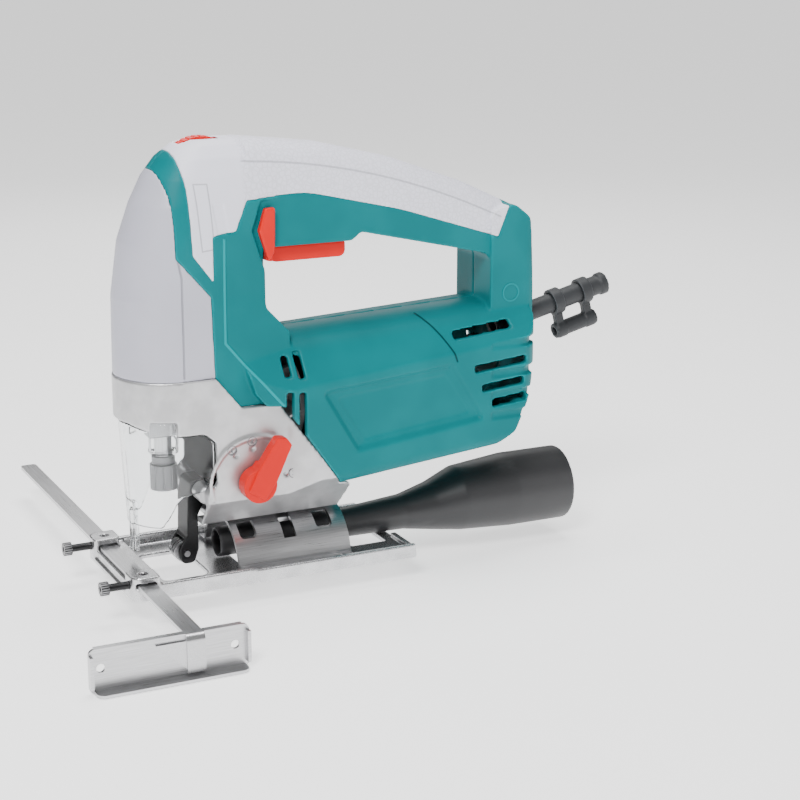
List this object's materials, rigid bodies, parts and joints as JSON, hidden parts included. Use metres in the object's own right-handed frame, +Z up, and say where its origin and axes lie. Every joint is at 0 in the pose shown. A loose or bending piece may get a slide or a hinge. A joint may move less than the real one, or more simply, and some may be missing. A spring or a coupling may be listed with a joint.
{
  "type": "jigsaw",
  "caption": "Corded handheld jigsaw with an arched top handle, die-cast gear housing, clear guard, tilting base, dust tube and parallel guide.",
  "frame": {"origin": "where the plunger's axis meets the sole plane of the base", "axes": "+X towards the rear of the tool (-X is the way it cuts), -Y is the tool's left, +Z up along the plunger"},
  "size_m": [0.3332, 0.2987, 0.2339],
  "materials": {
    "teal_plastic": "fine moulded grain, satin",
    "grip_grey": "soft-touch overlay with a leathery grain",
    "grey_plastic": "light lavender grey, satin",
    "diecast": "die-cast, fine grain",
    "base_cast": "die-cast, bright",
    "clear_plastic": "clear polycarbonate",
    "black_rubber": "matt",
    "red_plastic": "gloss",
    "black_plastic": "satin",
    "dark_steel": "black oxide",
    "steel": "rolled or ground",
    "lamination": "stacked sheet",
    "copper": "enamelled wire and copper bars",
    "bronze": "sintered bronze",
    "carbon": "pressed carbon",
    "circuit_board": "board with solder mask"
  },
  "bodies": {
    "housing": {"left_housing": "teal_plastic", "right_housing": "teal_plastic", "handle_grip": "grip_grey", "nose_cover": "grey_plastic", "gear_housing": "diecast", "gear_plate": "diecast", "clear_guard": "clear_plastic", "cord_sleeve": "black_rubber", "key_holder": "black_rubber", "cord_clamp": "black_plastic", "housing_screws": "dark_steel", "plunger_bushings": "bronze", "front_bearing": "steel", "rear_bearing": "steel", "stator_core": "lamination", "field_coils": "copper", "brush_holders": "black_plastic", "carbon_brushes": "carbon", "brush_springs": "steel", "gear_axle": "steel", "fork_pin": "steel", "trigger_pin": "steel", "trigger_spring": "steel", "switch_body": "black_plastic", "speed_dial_pin": "steel", "speed_board": "circuit_board", "clamp_plate": "steel"},
    "armature": {"armature_shaft": "steel", "pinion": "steel", "armature_core": "lamination", "armature_windings": "copper", "commutator": "copper", "cooling_fan": "diecast"},
    "gear": {"drive_gear": "steel", "counterweight": "steel", "crank_pin": "steel"},
    "ram": {"plunger": "steel", "yoke": "steel", "clamp_core": "dark_steel", "clamp_spring": "steel"},
    "collar": {"clamp_collar": "dark_steel"},
    "fork": {"pendulum_fork": "dark_steel", "roller_pin": "steel"},
    "roller": {"guide_roller": "steel"},
    "selector": {"selector_lever": "red_plastic", "selector_shaft": "steel"},
    "trigger": {"trigger": "red_plastic"},
    "switch_button": {"switch_button": "black_plastic"},
    "lock_button": {"lock_button": "black_plastic"},
    "speed_dial": {"speed_dial": "red_plastic"},
    "base": {"base_plate": "base_cast", "bevel_shroud": "steel", "shroud_rivets": "steel"},
    "dust_tube": {"dust_tube": "black_plastic"},
    "guide": {"guide_bar": "steel", "guide_fence": "steel"},
    "screw_near": {"guide_screw_near": "dark_steel"},
    "screw_far": {"guide_screw_far": "dark_steel"},
    "base_bolt": {"base_bolt": "dark_steel"}
  },
  "joints": [
    {"name": "armature_spin", "type": "hinge", "parent": "housing", "child": "armature", "pos_m": [0.1, 0, 0.084], "axis": [1, 0, 0], "continuous": true},
    {"name": "gear_spin", "type": "hinge", "parent": "housing", "child": "gear", "pos_m": [0.035, 0, 0.108], "axis": [1, 0, 0], "continuous": true},
    {"name": "ram_stroke", "type": "slide", "parent": "housing", "child": "ram", "axis": [0, 0, 1], "range_m": [-0.01, 0.01]},
    {"name": "collar_twist", "type": "hinge", "parent": "ram", "child": "collar", "pos_m": [0, 0, 0.051], "axis": [0, 0, 1], "range_deg": [0, 75], "stiffness_Nm_per_rad": 0.05, "springref_deg": -17.19},
    {"name": "fork_swing", "type": "hinge", "parent": "housing", "child": "fork", "pos_m": [0.016, 0, 0.044], "axis": [0, 1, 0], "range_deg": [0, 4], "stiffness_Nm_per_rad": 0.4, "springref_deg": -11.46},
    {"name": "roller_spin", "type": "hinge", "parent": "fork", "child": "roller", "pos_m": [0.0085, 0, 0.01], "axis": [0, 1, 0], "continuous": true},
    {"name": "selector_turn", "type": "hinge", "parent": "housing", "child": "selector", "pos_m": [0.0385, 0, 0.05], "axis": [0, 1, 0], "range_deg": [-63, 55]},
    {"name": "trigger_pull", "type": "hinge", "parent": "housing", "child": "trigger", "pos_m": [0.052, 0, 0.184], "axis": [0, -1, 0], "range_deg": [0, 8], "stiffness_Nm_per_rad": 1.5, "springref_deg": -11.46, "deforming": ["trigger_spring"]},
    {"name": "switch_press", "type": "slide", "parent": "housing", "child": "switch_button", "axis": [0, 0, 1], "range_m": [0, 0.005]},
    {"name": "lock_press", "type": "slide", "parent": "housing", "child": "lock_button", "axis": [0, -1, 0], "range_m": [0, 0.003], "stiffness_N_per_m": 60, "springref_m": -0.005},
    {"name": "speed_dial_turn", "type": "hinge", "parent": "housing", "child": "speed_dial", "pos_m": [0.0235, 0, 0.202], "axis": [0, 1, 0], "range_deg": [0, 240]},
    {"name": "base_bevel", "type": "hinge", "parent": "housing", "child": "base", "pos_m": [0.05, 0, 0], "axis": [1, 0, 0], "range_deg": [-45, 45]},
    {"name": "dust_tube_slide", "type": "slide", "parent": "base", "child": "dust_tube", "axis": [1, 0, 0], "range_m": [0, 0.07]},
    {"name": "guide_slide", "type": "slide", "parent": "base", "child": "guide", "axis": [0, -1, 0], "range_m": [-0.06, 0.14]},
    {"name": "screw_near_turn", "type": "hinge", "parent": "base", "child": "screw_near", "pos_m": [-0.035, -0.032, 0.0077], "axis": [1, 0, 0], "range_deg": [-720, 0]},
    {"name": "screw_far_turn", "type": "hinge", "parent": "base", "child": "screw_far", "pos_m": [-0.035, 0.032, 0.0077], "axis": [1, 0, 0], "range_deg": [-720, 0]},
    {"name": "base_bolt_turn", "type": "hinge", "parent": "housing", "child": "base_bolt", "pos_m": [0.06, 0, 0.025], "axis": [0, 0, 1], "range_deg": [-360, 0]}
  ],
  "couplings": [
    {"joint": "gear_spin", "follows": "armature_spin", "ratio": -0.15385},
    {"joint": "switch_press", "follows": "trigger_pull", "m_per_rad": 0.0345}
  ]
}
